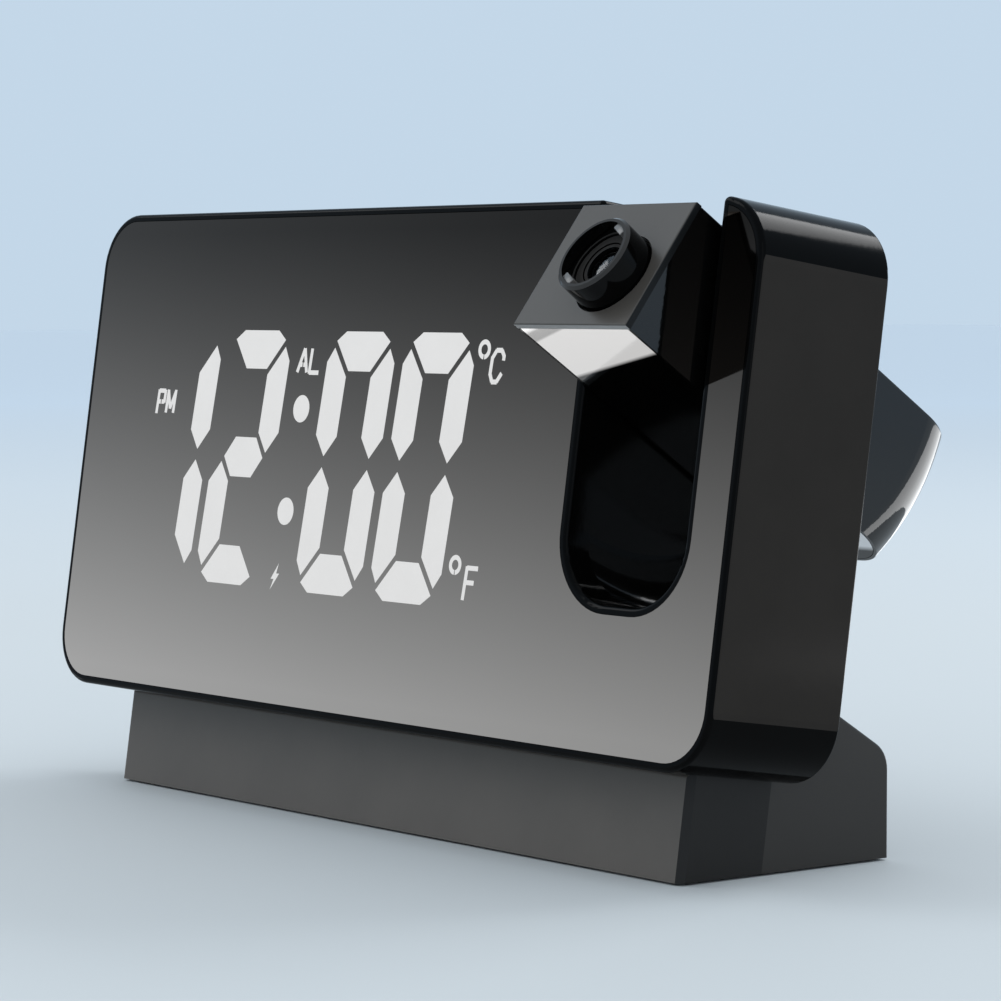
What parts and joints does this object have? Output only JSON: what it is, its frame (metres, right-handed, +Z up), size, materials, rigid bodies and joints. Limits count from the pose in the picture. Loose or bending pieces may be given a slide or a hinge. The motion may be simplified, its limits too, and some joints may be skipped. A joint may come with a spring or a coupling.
{
  "type": "projection alarm clock",
  "caption": "Mirror-faced digital alarm clock leaning back on a cradle base, with a box-shaped projector arm tilting in a through slot at its right end.",
  "frame": {"origin": "on the table, under the middle of the whole object at rest", "axes": "+X to the viewer's right along the housing, +Y to the back, +Z up"},
  "size_m": [0.185, 0.0734, 0.1054],
  "materials": {
    "shell_black": "gloss",
    "cover_black": "fine texture",
    "base_black": "satin",
    "display_mirror": "dark mirror coat on acrylic",
    "arm_mirror": "bright mirror coat on acrylic",
    "lit_segments": "lit white",
    "white_plastic": "matte",
    "lens_cap_grey": "satin",
    "lamp_chip": "gloss",
    "circuit_board": "solder mask",
    "led_board": "satin",
    "component_black": "moulded",
    "connector_white": "moulded",
    "screw_steel": "zinc plate",
    "cell_steel": "bright",
    "socket_steel": "nickel",
    "sensor": "dipped",
    "key_black": "satin",
    "rubber": "matte",
    "barrel_black": "gloss",
    "lens_glass": "polished",
    "slide_film": "film",
    "lead_sheath": "matte",
    "heatsink": "extruded"
  },
  "bodies": {
    "clock": {"front_shell": "shell_black", "mirror_window": "display_mirror", "digit_segments": "lit_segments", "indicator_marks": "lit_segments", "segment_reflector": "white_plastic", "display_lamps": "lamp_chip", "display_board": "circuit_board", "main_board": "circuit_board", "board_chips": "component_black", "board_connector": "connector_white", "board_screws": "screw_steel", "buzzer": "component_black", "coin_cell": "cell_steel", "cell_holder": "component_black", "temperature_sensor": "sensor", "key_switches": "component_black", "usb_output": "socket_steel", "power_inlet": "socket_steel", "rear_cover": "cover_black", "cover_screws": "screw_steel", "snooze_board": "circuit_board", "snooze_switches": "component_black", "snooze_screws": "screw_steel", "cradle_screws": "screw_steel", "friction_washer": "screw_steel", "spring_washer": "screw_steel", "base_front_cover": "base_black", "base_body": "base_black", "base_bottom_plate": "base_black", "anti_slip_strips": "rubber", "base_screws": "screw_steel"},
    "arm": {"arm_shell": "shell_black", "arm_mirror": "arm_mirror", "lens_cap": "lens_cap_grey", "focus_sleeve": "barrel_black", "lens_mount_screws": "screw_steel", "driver_board": "circuit_board", "driver_chip": "component_black", "driver_screws": "screw_steel", "pivot_tube": "screw_steel", "pivot_pin": "screw_steel", "pivot_clip": "screw_steel", "arm_lead": "lead_sheath", "lamp_housing": "white_plastic", "image_slide": "slide_film", "condenser_lens": "lens_glass", "projection_led": "lamp_chip", "led_board": "led_board", "led_heatsink": "heatsink"},
    "focus_ring": {"focus_ring": "barrel_black"},
    "lens_cell": {"lens_cell": "barrel_black", "front_lens": "lens_glass", "rear_lens": "lens_glass"},
    "snooze_bar": {"snooze_bar": "key_black"},
    "battery_door": {"battery_door": "cover_black"},
    "key_mode": {"key_mode": "key_black"},
    "key_alarm": {"key_alarm": "key_black"},
    "key_up": {"key_up": "key_black"},
    "key_down": {"key_down": "key_black"},
    "key_projector": {"key_projector": "key_black"}
  },
  "joints": [
    {"name": "arm_tilt", "type": "hinge", "parent": "clock", "child": "arm", "pos_m": [0.068, -0.00242, 0.0818], "axis": [1, 0, 0], "range_deg": [-154.4, 25.6]},
    {"name": "focus_turn", "type": "hinge", "parent": "arm", "child": "focus_ring", "pos_m": [0.0718, -0.02858, 0.0937], "axis": [0, -0.797, 0.604], "range_deg": [0, 120]},
    {"name": "focus_slide", "type": "slide", "parent": "arm", "child": "lens_cell", "axis": [0, -0.797, 0.604], "range_m": [0, 0.002]},
    {"name": "snooze_press", "type": "slide", "parent": "clock", "child": "snooze_bar", "axis": [0, -0.1437, -0.9896], "range_m": [0, 0.0005], "stiffness_N_per_m": 600, "springref_m": -0.0015},
    {"name": "battery_door_slide", "type": "slide", "parent": "clock", "child": "battery_door", "axis": [1, 0, 0], "range_m": [0, 0.023]},
    {"name": "mode_press", "type": "slide", "parent": "clock", "child": "key_mode", "axis": [0, -0.9896, 0.1437], "range_m": [0, 0.0005], "stiffness_N_per_m": 400, "springref_m": -0.0015},
    {"name": "alarm_press", "type": "slide", "parent": "clock", "child": "key_alarm", "axis": [0, -0.9896, 0.1437], "range_m": [0, 0.0005], "stiffness_N_per_m": 400, "springref_m": -0.0015},
    {"name": "up_press", "type": "slide", "parent": "clock", "child": "key_up", "axis": [0, -0.9896, 0.1437], "range_m": [0, 0.0005], "stiffness_N_per_m": 400, "springref_m": -0.0015},
    {"name": "down_press", "type": "slide", "parent": "clock", "child": "key_down", "axis": [0, -0.9896, 0.1437], "range_m": [0, 0.0005], "stiffness_N_per_m": 400, "springref_m": -0.0015},
    {"name": "projector_press", "type": "slide", "parent": "clock", "child": "key_projector", "axis": [0, -0.9896, 0.1437], "range_m": [0, 0.0005], "stiffness_N_per_m": 400, "springref_m": -0.0015}
  ],
  "couplings": [
    {"joint": "focus_slide", "follows": "focus_turn", "m_per_rad": 0.00095493}
  ]
}
